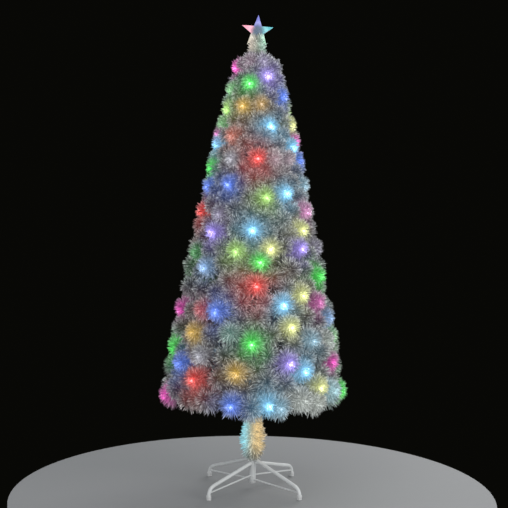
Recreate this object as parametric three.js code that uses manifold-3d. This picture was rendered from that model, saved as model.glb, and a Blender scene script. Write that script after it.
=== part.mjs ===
// Light-up artificial tree, 1.8 m tall: a folding four-legged stand, a trunk in two sections,
// branches wired to the trunk that end in round lit brushes, and a clear star on top.
// Millimetres, +Z up. The origin is on the floor, on the trunk's axis. The front faces -Y.
import * as THREE from 'three';
import { mergeVertices } from 'three/addons/utils/BufferGeometryUtils.js';
import Module from 'manifold-3d';

const wasm = await Module();
wasm.setup();

// Driving dimensions
const GAP = 0.3;
const TAU = Math.PI * 2;

// Stand
const HUB_R = 12.5;
const HUB_SIDES = 16;
const HUB_BORE_R = 8.3;
const INNER_TUBE_R = 9.5;
const HUB_TOP = 118;
const TOP_COLLAR_LOW = 104.5;
const BOTTOM_COLLAR_TOP = 39.7;
const BOTTOM_COLLAR_LOW = 27;
const END_CAP_LOW = 17;
const END_CAP_PLUG_TOP = 34;
const LEG_R = 6.75;
const LEG_SIDES = 8;
const LEG_FOOT_R = 233;
const LEG_BEND = 36;
const LEG_BEND_STEPS = 5;
const LEG_KNEE = { r: 200, z: 49 };
const LEG_END_Z = 3.6;
const SLEEVE_LEG_Z = 95;
const COLLAR_LEG_Z = 111;
const BRACE_R = 3;
const BRACE_SIDES = 6;
const SLEEVE_BRACE_Z = 48;
const COLLAR_BRACE_Z = 33;
const BRACE_FOOT_Z = 25;
const CAP_R = 9.1;
const CAP_HEIGHT = 17.5;
const CAP_BORE_R = 7.4;
const CAP_FLOOR = 3.2;

// Trunk
const POLE_R = 11;
const POLE_SIDES = 12;
const SPIGOT_R = 8;
const POLE_BORE_R = 6;
const POLE_LOW = 38;
const SECTION_JOINT_Z = 860;
const UPPER_SPIGOT_DEPTH = 70;
const TRUNK_TOP = 1652;
const TOP_SPIGOT_R = 4;
const TOP_SPIGOT_END = 1690;
const WIRING_R = 4;
const WIRING_LOW = 150;
const WIRING_HIGH = 1560;

// Star
const STAR_Z = 1737;
const STAR_R = 62.6;
const STAR_NOTCH = 0.4;
const STAR_RIM = 1.6;
const STAR_THICK = 11;
const SOCKET_WALL = 1.2;
const STAR_TILT = THREE.MathUtils.degToRad(-3);
const STAR_NECK_R = 4;
const STAR_NECK_LOW = 1693;
const LAMP_POCKET_R = 5;
const LAMP_POCKET_DEPTH = 5;

// Bristled wraps, each fused to its sleeve
const SLEEVE_WALL = 2;
const SLEEVE_SIDES = 12;
const STRAND_R = 1.6;
const TRUNK_WRAP = { low: 122, high: 322, rings: 17, strands: 13, reach: 54 };
const CROWN_WRAP = { low: 1655, high: 1690, rings: 6, strands: 14, reach: 37 };

// Branches: round brushes of needles on wire twigs
const STEM_R = 2.8;
const WIRE_R = 1.8;
const BARE_STEM = 50;
const ROOT_R = 14.4;
const ROOT_ABOVE_EDGE = 20;
const LOWEST_ROOT = 345;
const EDGE_R = 450;
const BRUSH_SIDES = 5;
const BRUSH_R_LOW = 68;
const BRUSH_R_TOP = 46;
const BRUSH_CROWDING = 0.74;
const FIRST_FORK = 0.14;
const LAST_FORK = 0.44;
const FOLIAGE_LOW = 250;
const FOLIAGE_TOP = 1653;

const paint = (colour, roughness, metalness = 0) =>
  new THREE.MeshStandardMaterial({ color: colour, roughness, metalness });
const materials = {
  stand: paint(0xb9bcba, 0.45, 0.6),
  cap: paint(0xc9cac6, 0.6),
  pole: paint(0xd8d9d6, 0.5, 0.4),
  wiring: paint(0xdedede, 0.6),
  needles: paint(0xb8bcc0, 0.8),
  star: paint(0xdfe8f2, 0.1),
  socket: paint(0xe4e4e0, 0.5),
};

// A closed geometry as a solid for joining and cutting
function solidOf(geometry) {
  const plain = geometry.clone();
  plain.deleteAttribute('normal');
  plain.deleteAttribute('uv');
  const merged = mergeVertices(plain, 1e-4);
  const mesh = new wasm.Mesh({
    numProp: 3,
    vertProperties: new Float32Array(merged.attributes.position.array),
    triVerts: new Uint32Array(merged.index.array),
  });
  return new wasm.Manifold(mesh);
}

function geometryOf(solid) {
  const mesh = solid.getMesh();
  const geometry = new THREE.BufferGeometry();
  geometry.setAttribute('position', new THREE.BufferAttribute(mesh.vertProperties, 3));
  geometry.setIndex(new THREE.BufferAttribute(mesh.triVerts, 1));
  geometry.computeVertexNormals();
  return geometry;
}

// A turned piece about Z from (radius, height) pairs
function turned(pairs, segments) {
  const points = pairs.map(([r, z]) => new THREE.Vector2(r, z));
  const geometry = new THREE.LatheGeometry(points, segments);
  geometry.rotateX(Math.PI / 2);
  return geometry;
}

// A tube wall about Z: a closed ring section
function ring(inner, outer, low, high, segments) {
  return turned(
    [[inner, low], [outer, low], [outer, high], [inner, high], [inner, low]],
    segments,
  );
}

function upright(radius, low, high, segments) {
  return turned([[0, low], [radius, low], [radius, high], [0, high]], segments);
}

// Points a geometry built along +Z down the direction from one point to another
function aim(geometry, from, to) {
  const direction = new THREE.Vector3().subVectors(to, from).normalize();
  const turn = new THREE.Quaternion().setFromUnitVectors(new THREE.Vector3(0, 0, 1), direction);
  geometry.applyQuaternion(turn);
  geometry.translate(from.x, from.y, from.z);
  return geometry;
}

function rod(from, to, radius, segments) {
  return aim(upright(radius, 0, from.distanceTo(to), segments), from, to);
}

const tree = new THREE.Group();

function addPiece(name, geometry, material) {
  const mesh = new THREE.Mesh(geometry, material.clone());
  mesh.name = name;
  tree.add(mesh);
}

// Stand: an inner tube with collars, and a sleeve that turns on it between them

function innerTube() {
  return turned(
    [
      [HUB_BORE_R, BOTTOM_COLLAR_LOW],
      [HUB_R, BOTTOM_COLLAR_LOW],
      [HUB_R, BOTTOM_COLLAR_TOP],
      [INNER_TUBE_R, BOTTOM_COLLAR_TOP],
      [INNER_TUBE_R, TOP_COLLAR_LOW],
      [HUB_R, TOP_COLLAR_LOW],
      [HUB_R, HUB_TOP - 1],
      [HUB_R - 1, HUB_TOP],
      [HUB_BORE_R, HUB_TOP],
      [HUB_BORE_R, BOTTOM_COLLAR_LOW],
    ],
    HUB_SIDES,
  );
}

function endCap() {
  const plug = HUB_BORE_R - GAP;
  return turned(
    [
      [0, END_CAP_LOW],
      [HUB_R - 3.5, END_CAP_LOW],
      [HUB_R - 0.9, END_CAP_LOW + 1.6],
      [HUB_R, END_CAP_LOW + 4.5],
      [HUB_R, BOTTOM_COLLAR_LOW - GAP],
      [plug, BOTTOM_COLLAR_LOW - GAP],
      [plug, END_CAP_PLUG_TOP],
      [0, END_CAP_PLUG_TOP],
    ],
    HUB_SIDES,
  );
}

// The leg's centre line in the plane of radius and height, bent down to the foot
function legCurve(hubZ) {
  const slope = new THREE.Vector3(LEG_KNEE.r - HUB_BORE_R, 0, LEG_KNEE.z - hubZ);
  const angle = Math.atan2(-slope.z, slope.x);
  const turnBack = LEG_BEND * Math.tan((Math.PI / 2 - angle) / 2);
  const corner = hubZ - Math.tan(angle) * (LEG_FOOT_R - HUB_BORE_R);
  const start = new THREE.Vector3(HUB_BORE_R, 0, hubZ);
  const bendIn = new THREE.Vector3(
    LEG_FOOT_R - turnBack * Math.cos(angle), 0, corner + turnBack * Math.sin(angle));
  const bendOut = new THREE.Vector3(LEG_FOOT_R, 0, corner - turnBack);
  const path = new THREE.CurvePath();
  path.add(new THREE.LineCurve3(start, bendIn));
  const middle = new THREE.Vector3(LEG_FOOT_R, 0, corner);
  path.add(new THREE.QuadraticBezierCurve3(bendIn, middle, bendOut));
  path.add(new THREE.LineCurve3(bendOut, new THREE.Vector3(LEG_FOOT_R, 0, LEG_END_Z)));
  return path;
}

// The path's points: its straight stretches need only their ends
function legPoints(path) {
  const [first, bend, last] = path.curves;
  return [first.v1, ...bend.getPoints(LEG_BEND_STEPS), last.v2];
}

// A tube of flat-sided rings along points in the XZ plane
function sweep(points, radius, sides) {
  const positions = [];
  const index = [];
  points.forEach((point, i) => {
    const before = points[Math.max(i - 1, 0)];
    const after = points[Math.min(i + 1, points.length - 1)];
    const tangent = new THREE.Vector3().subVectors(after, before).normalize();
    const up = new THREE.Vector3(-tangent.z, 0, tangent.x);
    for (let side = 0; side < sides; side += 1) {
      const angle = (TAU * side) / sides;
      const around = Math.sin(angle) * radius;
      const rise = Math.cos(angle) * radius;
      positions.push(point.x + up.x * rise, point.y + around, point.z + up.z * rise);
    }
  });
  const last = points.length - 1;
  for (let i = 0; i < last; i += 1) {
    for (let side = 0; side < sides; side += 1) {
      const next = (side + 1) % sides;
      const a = i * sides + side;
      const b = i * sides + next;
      index.push(a, a + sides, b, b, a + sides, b + sides);
    }
  }
  for (let side = 1; side < sides - 1; side += 1) {
    index.push(0, side, side + 1);
    index.push(last * sides, last * sides + side + 1, last * sides + side);
  }
  const geometry = new THREE.BufferGeometry();
  geometry.setAttribute('position', new THREE.Float32BufferAttribute(positions, 3));
  geometry.setIndex(index);
  return geometry;
}

function hubCutter() {
  return solidOf(upright(HUB_R + GAP, 0, HUB_TOP + 20, HUB_SIDES));
}

function legTube(hubZ, radius) {
  return solidOf(sweep(legPoints(legCurve(hubZ)), radius, LEG_SIDES));
}

function leg(hubZ) {
  return geometryOf(legTube(hubZ, LEG_R).subtract(hubCutter()));
}

// A thin rod from the hub to its leg's shin, fitted round both
function brace(hubZ, legHubZ) {
  const from = new THREE.Vector3(HUB_BORE_R, 0, hubZ);
  const to = new THREE.Vector3(LEG_FOOT_R - LEG_R / 2, 0, BRACE_FOOT_Z);
  const whole = solidOf(rod(from, to, BRACE_R, BRACE_SIDES));
  return geometryOf(whole.subtract(hubCutter()).subtract(legTube(legHubZ, LEG_R + GAP)));
}

function footCap() {
  const cap = turned(
    [
      [0, 0],
      [CAP_R - 1, 0],
      [CAP_R, 1.2],
      [CAP_R, CAP_HEIGHT - 2],
      [CAP_BORE_R + 0.8, CAP_HEIGHT],
      [CAP_BORE_R, CAP_HEIGHT],
      [CAP_BORE_R, CAP_FLOOR],
      [0, CAP_FLOOR],
    ],
    12,
  );
  return cap.translate(LEG_FOOT_R, 0, 0);
}

function addStand() {
  addPiece('stand_inner_tube', innerTube(), materials.stand);
  addPiece('stand_end_cap', endCap(), materials.cap);
  const sleeve = ring(
    INNER_TUBE_R + GAP, HUB_R, BOTTOM_COLLAR_TOP + GAP, TOP_COLLAR_LOW - GAP, HUB_SIDES);
  addPiece('stand_sleeve', sleeve, materials.stand);
  const legs = [
    { place: 'rear_right', bearing: 45, hubZ: SLEEVE_LEG_Z, braceZ: SLEEVE_BRACE_Z },
    { place: 'rear_left', bearing: 135, hubZ: COLLAR_LEG_Z, braceZ: COLLAR_BRACE_Z },
    { place: 'front_left', bearing: 225, hubZ: SLEEVE_LEG_Z, braceZ: SLEEVE_BRACE_Z },
    { place: 'front_right', bearing: 315, hubZ: COLLAR_LEG_Z, braceZ: COLLAR_BRACE_Z },
  ];
  for (const { place, bearing, hubZ, braceZ } of legs) {
    const turn = THREE.MathUtils.degToRad(bearing);
    addPiece(`leg_${place}`, leg(hubZ).rotateZ(turn), materials.stand);
    addPiece(`brace_${place}`, brace(braceZ, hubZ).rotateZ(turn), materials.stand);
    addPiece(`foot_cap_${place}`, footCap().rotateZ(turn), materials.cap);
  }
}

// Trunk: a lower pole that stands in the hub, and an upper pole that plugs into it

function lowerPole() {
  return turned(
    [
      [POLE_BORE_R, POLE_LOW],
      [SPIGOT_R, POLE_LOW],
      [SPIGOT_R, HUB_TOP + GAP],
      [POLE_R, HUB_TOP + GAP],
      [POLE_R, SECTION_JOINT_Z - GAP],
      [SPIGOT_R + GAP, SECTION_JOINT_Z - GAP],
      [SPIGOT_R + GAP, SECTION_JOINT_Z - UPPER_SPIGOT_DEPTH - GAP],
      [POLE_BORE_R, SECTION_JOINT_Z - UPPER_SPIGOT_DEPTH - GAP],
      [POLE_BORE_R, POLE_LOW],
    ],
    POLE_SIDES,
  );
}

function upperPole() {
  const low = SECTION_JOINT_Z - UPPER_SPIGOT_DEPTH;
  return turned(
    [
      [POLE_BORE_R, low],
      [SPIGOT_R, low],
      [SPIGOT_R, SECTION_JOINT_Z],
      [POLE_R, SECTION_JOINT_Z],
      [POLE_R, TRUNK_TOP],
      [TOP_SPIGOT_R, TRUNK_TOP],
      [TOP_SPIGOT_R, TOP_SPIGOT_END],
      [0, TOP_SPIGOT_END],
      [0, TRUNK_TOP - 12],
      [POLE_BORE_R, TRUNK_TOP - 12],
      [POLE_BORE_R, low],
    ],
    POLE_SIDES,
  );
}

// The wiring inside each pole ends at the joint in half of a plug connector
function wiring(low, high, plugLow, plugHigh) {
  const thick = POLE_BORE_R - GAP;
  const points = [[0, low]];
  if (plugLow === low) {
    points.push([thick, low], [thick, plugHigh], [WIRING_R, plugHigh], [WIRING_R, high]);
  } else {
    points.push([WIRING_R, low], [WIRING_R, plugLow], [thick, plugLow], [thick, high]);
  }
  points.push([0, high]);
  return turned(points, 12);
}

function addTrunk() {
  addPiece('lower_pole', lowerPole(), materials.pole);
  addPiece('upper_pole', upperPole(), materials.pole);
  const plugZ = SECTION_JOINT_Z - UPPER_SPIGOT_DEPTH + 12;
  const plugLength = 28;
  addPiece(
    'lower_wiring', wiring(WIRING_LOW, plugZ - GAP, plugZ - plugLength, plugZ), materials.wiring);
  addPiece('upper_wiring', wiring(plugZ, WIRING_HIGH, plugZ, plugZ + plugLength), materials.wiring);
}

// A sleeve with rings of three-sided strands: (share up the sleeve) to reach and tilt
function bristled(wrap, core, reachAt, tiltAt) {
  const inner = (core + GAP) / Math.cos(Math.PI / SLEEVE_SIDES);
  const outer = inner + SLEEVE_WALL;
  const parts = [solidOf(ring(inner, outer, wrap.low, wrap.high, SLEEVE_SIDES))];
  const pitch = (wrap.high - wrap.low) / wrap.rings;
  for (let row = 0; row < wrap.rings; row += 1) {
    const share = (row + 0.5) / wrap.rings;
    const z = wrap.low + pitch * (row + 0.5);
    const tilt = THREE.MathUtils.degToRad(tiltAt(share));
    const reach = reachAt(share) * wrap.reach;
    for (let i = 0; i < wrap.strands; i += 1) {
      const turn = (TAU * (i + (row % 2) / 2)) / wrap.strands;
      const length = (reach - inner) / Math.cos(tilt);
      const strand = new THREE.ConeGeometry(STRAND_R, length, 3);
      strand.rotateX(Math.PI / 2);
      strand.translate(0, 0, length / 2);
      strand.rotateY(Math.PI / 2 - tilt);
      strand.translate(inner + SLEEVE_WALL / 2, 0, z);
      strand.rotateZ(turn);
      parts.push(solidOf(strand));
    }
  }
  return geometryOf(wasm.Manifold.union(parts));
}

function addWraps() {
  const trunkReach = (share) => 0.42 + 0.58 * Math.sin(Math.min(share * 3.2, 1) * Math.PI / 2);
  const trunkTilt = (share) => -38 + 46 * Math.min(share * 2.2, 1);
  const trunkWrap = bristled(TRUNK_WRAP, POLE_R, trunkReach, trunkTilt);
  addPiece('trunk_wrap', trunkWrap, materials.needles);
  const crownReach = (share) => 1 - 0.3 * share;
  const crownTilt = (share) => -24 + 60 * share;
  const socketR = TOP_SPIGOT_R + GAP + SOCKET_WALL;
  const crownWrap = bristled(CROWN_WRAP, socketR, crownReach, crownTilt);
  addPiece('crown_wrap', crownWrap, materials.needles);
}

// Star: two moulded halves on a socket that slips over the trunk's top spigot

function starOutline() {
  const corners = [];
  for (let i = 0; i < 10; i += 1) {
    const radius = i % 2 === 0 ? STAR_R : STAR_R * STAR_NOTCH;
    const angle = Math.PI / 2 + (TAU * i) / 10;
    corners.push(new THREE.Vector2(Math.cos(angle) * radius, Math.sin(angle) * radius));
  }
  return corners;
}

// The front half, facing -Y: a rim, ten facets, half of the neck, and a pocket for the lamp
function starHalf(tilt) {
  const rim = new THREE.ExtrudeGeometry(
    new THREE.Shape(starOutline()), { depth: STAR_RIM, bevelEnabled: false });
  const place = (geometry) => {
    geometry.rotateZ(tilt);
    geometry.rotateX(Math.PI / 2);
    return solidOf(geometry.translate(0, 0, STAR_Z));
  };
  const neck = upright(STAR_NECK_R, STAR_NECK_LOW, STAR_Z - STAR_R * STAR_NOTCH + 3, 12);
  const pocket = upright(LAMP_POCKET_R, -LAMP_POCKET_DEPTH, LAMP_POCKET_DEPTH, 10);
  return place(rim)
    .add(place(facetedStar()))
    .add(solidOf(neck))
    .subtract(place(pocket))
    .trimByPlane([0, -1, 0], GAP / 2);
}

// Ten facets that rise from the rim to a point in the middle
function facetedStar() {
  const positions = [0, 0, STAR_THICK, 0, 0, 0];
  for (const corner of starOutline()) {
    positions.push(corner.x, corner.y, STAR_RIM * 0.9);
  }
  const index = [];
  for (let i = 0; i < 10; i += 1) {
    const here = 2 + i;
    const next = 2 + ((i + 1) % 10);
    index.push(0, here, next, 1, next, here);
  }
  const geometry = new THREE.BufferGeometry();
  geometry.setAttribute('position', new THREE.Float32BufferAttribute(positions, 3));
  geometry.setIndex(index);
  return geometry;
}

function starSocket() {
  const inner = TOP_SPIGOT_R + GAP;
  const outer = inner + SOCKET_WALL;
  const cupTop = STAR_Z - STAR_R * STAR_NOTCH - 9;
  return turned(
    [
      [inner, TRUNK_TOP + GAP],
      [outer, TRUNK_TOP + GAP],
      [outer, cupTop - 6],
      [outer + 1.2, cupTop - 4],
      [outer + 1.2, cupTop],
      [inner, cupTop],
      [inner, STAR_NECK_LOW - GAP],
      [0, STAR_NECK_LOW - GAP],
      [0, TOP_SPIGOT_END + GAP],
      [inner, TOP_SPIGOT_END + GAP],
      [inner, TRUNK_TOP + GAP],
    ],
    12,
  );
}

function addStar() {
  addPiece('star_socket', starSocket(), materials.socket);
  addPiece('star_front', geometryOf(starHalf(STAR_TILT)), materials.star);
  addPiece('star_back', geometryOf(starHalf(-STAR_TILT)).rotateZ(Math.PI), materials.star);
}

// Foliage: whorls from the bottom up. A whorl's upper edge lies at "top" on the foliage's
// surface and falls towards the trunk at "slope" degrees. Each branch keeps to its own sector,
// from the bearing "from" to the next one. A bearing is in degrees to the right of the front.
// A tip is [bearing, height of its end]. The back repeats the front, half a turn on.
const whorls = [
  { top: 544, slope: 12, branches: [
    { from: -93, tips: [[-83, 357], [-86, 458], [-63, 489], [-66, 393], [-88, 533]] },
    { from: -51, tips: [[-34, 374], [-45, 441], [-42, 526], [-14, 475], [-16, 366]] },
    { from: -3, tips: [[7, 369], [22, 508], [6, 441], [30, 378], [33, 480]] },
    { from: 43, tips: [[45, 418], [61, 393], [67, 493], [84, 374], [53, 533]] },
  ] },
  { top: 722, slope: 15, branches: [
    { from: -106, tips: [[-98, 581], [-88, 679], [-77, 611], [-52, 606], [-47, 687]] },
    { from: -36, tips: [[-23, 609], [-32, 684], [-4, 578], [0, 663]] },
    { from: 14, tips: [[25, 635], [20, 712], [43, 582], [58, 716], [75, 653]] },
  ] },
  { top: 924, slope: 18, branches: [
    { from: -96, tips: [[-76, 762], [-86, 839], [-50, 840], [-71, 893]] },
    { from: -45, tips: [[-25, 790], [-19, 900], [-1, 778], [2, 862], [11, 908]] },
    { from: 24, tips: [[38, 745], [31, 832], [44, 913], [69, 809], [80, 911]] },
  ] },
  { top: 1174, slope: 22, branches: [
    { from: -93, tips: [[-47, 967], [-78, 991], [-81, 1048], [-58, 1066], [-75, 1140]] },
    { from: -35, tips: [[-25, 1045], [-5, 975], [9, 1094], [-5, 1158], [-35, 1142]] },
    { from: 17, tips: [[26, 1009], [49, 978], [65, 1050], [33, 1111], [25, 1164], [75, 1147]] },
  ] },
  { top: 1350, slope: 26, branches: [
    { from: -88, tips: [[-87, 1214], [-36, 1238], [-86, 1305], [-45, 1324], [-88, 1339]] },
    { from: -16, tips: [[0, 1236], [47, 1240], [83, 1245], [61, 1288], [82, 1317], [10, 1318]] },
  ] },
  { top: 1560, slope: 32, branches: [
    { from: -93, tips: [[-71, 1431], [-86, 1379], [-80, 1508], [-28, 1436], [-84, 1457]] },
    {
      from: -14,
      tips: [
        [20, 1358], [6, 1442], [82, 1378], [64, 1482], [-18, 1520], [24, 1550], [84, 1541]],
    },
  ] },
  { top: FOLIAGE_TOP, slope: 0, branches: [
    { from: -90, tips: [[-86, 1602], [-26, 1607], [20, 1590], [66, 1607]] },
  ] },
];

// The brushes' outer radius at a height: a cone with a slight swell
function foliageRadius(z) {
  const share = (z - 364) / 1243;
  const swell = 16 * Math.sin(Math.PI * Math.min(Math.max(share, 0), 1));
  return 352 - 0.21 * (z - 364) + swell;
}

function around(bearing, radius, z) {
  const angle = THREE.MathUtils.degToRad(bearing);
  return new THREE.Vector3(Math.sin(angle) * radius, -Math.cos(angle) * radius, z);
}

// A twig's wire, bare up to a height, that widens steadily into a round-ended brush
function twig(from, to, wireR, bare, radius) {
  const length = from.distanceTo(to);
  const widest = length - Math.min(radius * 1.15, length * 0.4);
  const profile = [[0, 0], [wireR, 0]];
  if (bare > 0) {
    profile.push([wireR * 2, bare]);
  }
  profile.push([radius, widest], [radius * 0.84, length - radius * 0.3], [0, length]);
  return solidOf(aim(turned(profile, BRUSH_SIDES), from, to));
}

// The height at which a whorl's upper edge would meet the trunk's axis
function edgeHeight(whorl) {
  return whorl.top - foliageRadius(whorl.top) * Math.tan(THREE.MathUtils.degToRad(whorl.slope));
}

// The space between two whorls' upper edges, each an eight-sided cone
function bandSolid(below, whorl) {
  const rise = (edge) => EDGE_R * Math.tan(THREE.MathUtils.degToRad(edge.slope));
  const low = below ? edgeHeight(below) + GAP : FOLIAGE_LOW;
  const lowRise = below ? rise(below) : 0;
  const high = edgeHeight(whorl) - GAP;
  return solidOf(turned(
    [[0, low], [EDGE_R, low + lowRise], [EDGE_R, high + rise(whorl)], [0, high]], 8));
}

// Cuts a solid to one sector of one band, so that neighbours only touch
function keepInside(solid, band, fromBearing, toBearing) {
  const half = GAP / 2;
  const right = around(fromBearing + 90, 1, 0);
  const left = around(toBearing - 90, 1, 0);
  return solid
    .intersect(band)
    .trimByPlane([right.x, right.y, 0], half)
    .trimByPlane([left.x, left.y, 0], half);
}

// A brush fills half the way to its nearest neighbour, up to a size that falls with height
function brushRadius(end, ends) {
  const gaps = ends.filter((other) => other !== end).map((other) => other.distanceTo(end));
  const widest = BRUSH_R_LOW - (BRUSH_R_LOW - BRUSH_R_TOP) * (end.z / FOLIAGE_TOP);
  return Math.min(Math.min(...gaps) * BRUSH_CROWDING, widest);
}

// One branch: a stem from the trunk to its middle tip, and a side twig to each other tip. The
// twigs leave the stem in turn, the widest nearest to the trunk.
function branch(rootZ, band, fromBearing, toBearing, tips) {
  const root = around((fromBearing + toBearing) / 2, ROOT_R, rootZ);
  const ends = tips.map(([bearing, z]) => around(bearing, foliageRadius(z), z));
  const middle = new THREE.Vector3();
  ends.forEach((end) => middle.addScaledVector(end, 1 / ends.length));
  ends.sort((a, b) => a.distanceTo(middle) - b.distanceTo(middle));
  const [stemEnd, ...sideEnds] = ends;
  const parts = [twig(root, stemEnd, STEM_R, BARE_STEM, brushRadius(stemEnd, ends))];
  sideEnds.reverse().forEach((end, i) => {
    const share = FIRST_FORK + (LAST_FORK - FIRST_FORK) * (i / sideEnds.length);
    const fork = root.clone().lerp(stemEnd, share);
    parts.push(twig(fork, end, WIRE_R, 0, brushRadius(end, ends)));
  });
  const whole = wasm.Manifold.union(parts);
  return keepInside(whole, band, fromBearing, toBearing);
}

function addBranches() {
  whorls.forEach((whorl, level) => {
    const letter = 'abcdefg'[level];
    const below = whorls[level - 1];
    const band = bandSolid(below, whorl);
    const rootZ = below ? edgeHeight(below) + ROOT_ABOVE_EDGE : LOWEST_ROOT;
    whorl.branches.forEach(({ from, tips }, i) => {
      const next = whorl.branches[i + 1];
      const to = next ? next.from : whorl.branches[0].from + 180;
      const geometry = geometryOf(branch(rootZ, band, from, to, tips));
      addPiece(`branch_front_${letter}${i + 1}`, geometry, materials.needles);
      const back = geometry.clone().rotateZ(Math.PI);
      addPiece(`branch_back_${letter}${i + 1}`, back, materials.needles);
    });
  });
}

addStand();
addTrunk();
addWraps();
addStar();
addBranches();

export default tree;
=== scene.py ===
"""Dresses the light-up tree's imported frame: needles, lamps, star, trunk and folding stand."""

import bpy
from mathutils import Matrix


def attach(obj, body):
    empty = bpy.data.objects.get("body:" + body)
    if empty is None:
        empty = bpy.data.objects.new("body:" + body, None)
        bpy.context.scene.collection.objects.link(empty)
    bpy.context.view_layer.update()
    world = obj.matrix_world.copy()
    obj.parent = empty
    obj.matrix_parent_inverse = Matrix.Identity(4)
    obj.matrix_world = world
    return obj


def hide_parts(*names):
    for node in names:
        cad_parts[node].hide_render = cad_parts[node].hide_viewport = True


bl_info = {
    "name": "Light-up tree",
    "version": (1, 0, 0),
    "blender": (4, 5, 0),
    "location": "View3D > Sidebar > Light-up tree",
    "description": "Needle brushes, lamps, star, trunk and stand of an artificial tree",
    "category": "Object",
}

from math import atan2, ceil, cos, exp, hypot, pi, radians, sin, sqrt, tan, tau

import bmesh
import bpy
import numpy as np
from bpy.props import FloatProperty, FloatVectorProperty, IntProperty, PointerProperty
from mathutils import Euler, Matrix, Vector

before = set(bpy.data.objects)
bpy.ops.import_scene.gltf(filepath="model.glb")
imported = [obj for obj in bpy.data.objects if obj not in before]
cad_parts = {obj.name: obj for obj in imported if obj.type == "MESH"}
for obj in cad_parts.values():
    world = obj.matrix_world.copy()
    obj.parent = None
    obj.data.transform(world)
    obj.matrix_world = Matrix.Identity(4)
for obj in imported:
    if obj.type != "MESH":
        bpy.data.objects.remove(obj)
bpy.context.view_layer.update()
MM = 0.001

# The branches by whorl, from the bottom up: (upper edge's height, its slope, branches). A branch
# is (bearing where its sector starts, tips), and a tip (bearing, height, lamp colour or None).
# Bearings are in degrees to the right of the front, heights in millimetres.
WHORLS = {
    "a": (544, 12, [
        (-93, [(-83, 357, "pink"), (-86, 458, None), (-63, 489, "blue"), (-66, 393, None),
            (-88, 533, "green")]),
        (-51, [(-34, 374, None), (-45, 441, "red"), (-42, 526, "white"), (-14, 475, "orange"),
            (-16, 366, "blue"), (-4, 354, None)]),
        (-3, [(7, 369, "cyan"), (22, 508, "violet"), (6, 441, None), (30, 378, "snow"),
            (41, 362, "snow"), (14, 360, "ice"), (33, 480, "cyan")]),
        (43, [(45, 418, "yellow"), (61, 393, "aqua"), (67, 493, "pink"), (84, 374, "green"),
            (53, 533, None)]),
    ]),
    "b": (722, 15, [
        (-106, [(-98, 581, "mint"), (-88, 679, "pink"), (-77, 611, None), (-52, 606, "orange"),
            (-47, 687, "crimson")]),
        (-36, [(-20, 609, "teal"), (-32, 684, "indigo"), (-4, 578, "green"), (0, 663, None)]),
        (14, [(25, 635, "yellow"), (20, 712, "cyan"), (43, 582, "ice"), (58, 716, "plum"),
            (75, 653, "sky"), (65, 570, "frost")]),
    ]),
    "c": (924, 18, [
        (-96, [(-76, 762, None), (-86, 839, None), (-50, 840, "sky"), (-71, 893, "moss")]),
        (-45, [(-25, 790, None), (-19, 900, "lime"), (-1, 778, "scarlet"), (2, 862, "green"),
            (11, 908, "yellow")]),
        (24, [(38, 745, "yellow"), (31, 832, None), (44, 913, "violet"), (69, 809, "green"),
            (80, 911, "lilac")]),
    ]),
    "d": (1174, 22, [
        (-93, [(-47, 967, "violet"), (-78, 991, None), (-81, 1048, "red"), (-58, 1066, None),
            (-42, 1032, "lilac"), (-75, 1140, "blue")]),
        (-35, [(-25, 1045, None), (-5, 975, "cyan"), (9, 1094, "lime"), (-5, 1158, None),
            (-35, 1142, "blue")]),
        (17, [(26, 1009, None), (49, 978, "yellow"), (65, 1050, "rose"), (33, 1111, "cyan"),
            (25, 1164, None), (75, 1147, "ice")]),
    ]),
    "e": (1350, 26, [
        (-88, [(-87, 1214, "green"), (-36, 1238, "white"), (-86, 1305, "cyan"),
            (-42, 1324, "brick"), (-88, 1339, "pink")]),
        (-16, [(0, 1236, "scarlet"), (47, 1240, "blush"), (83, 1245, "blue"), (61, 1288, "cyan"),
            (82, 1317, "pink"), (10, 1318, None), (23, 1236, "blush")]),
    ]),
    "f": (1560, 32, [
        (-93, [(-71, 1431, "lime"), (-86, 1379, "mint"), (-80, 1508, "mint"),
            (-28, 1436, "orange"), (-84, 1457, None)]),
        (-14, [(20, 1358, "cyan"), (6, 1442, "amber"), (82, 1378, "yellow"), (64, 1482, "blue"),
            (-18, 1520, "green"), (24, 1550, "lavender"), (72, 1541, None)]),
    ]),
    "g": (1653, 0, [
        (-90, [(-86, 1595, "pink"), (-26, 1607, "mauve"), (16, 1606, "lilac"), (44, 1587, None)]),
    ]),
}

# The foliage's surface, a cone with a slight belly, on which the brushes end. All in millimetres
FOLIAGE_LOW = 364
FOLIAGE_TOP = 1653
FOLIAGE_R = 352
FOLIAGE_TAPER = 0.21
BELLY = 16
BELLY_HEIGHT = 1243

# Where branches leave the trunk, and side twigs and fillers a branch's stem, as shares of it
ROOT_R = 14.4
LOWEST_ROOT = 345
ROOT_ABOVE_EDGE = 20
FIRST_FORK = 0.14
LAST_FORK = 0.44
FILLER_FORK = 0.45

# Brushes: the radius of a round end, and shares of it
BALL_R_LOW = 64
BALL_R_TOP = 48
BARE_AT = 0.92
FILLER_SIZE = 0.9
HEART_DEPTH = 0.8
HEART_RISE = 0.1
LAMP_DEPTH = 0.24

# Needles along a twig: (share of its length, share of their reach, share of their count)
FIRST_ROW = (0.5, 0.35)
TWIG_ROWS = [(0.5, 0.75, 0.5), (0.75, 0.9, 1.0), (1.0, 0.95, 1.0)]
# Needles in its round end: (place before the heart, reach, lean, spread, share of their count)
BURSTS = [(0, 1, 56, 56, 0.5), (0.2, 0.82, 55, 50, 0.28), (0.4, 0.62, 58, 42, 0.22)]

# Lamplight on needles: on a lamp's own brush, on others, far away, and where it ends in metres
OWN_LIGHT = 0.36
OTHER_LIGHT = 0.2
FAR_LIGHT = 0.09
FAR_SPREAD = 2.4
LIGHT_END = 0.13
NO_LAMP = (0, 0, -9)

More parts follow.
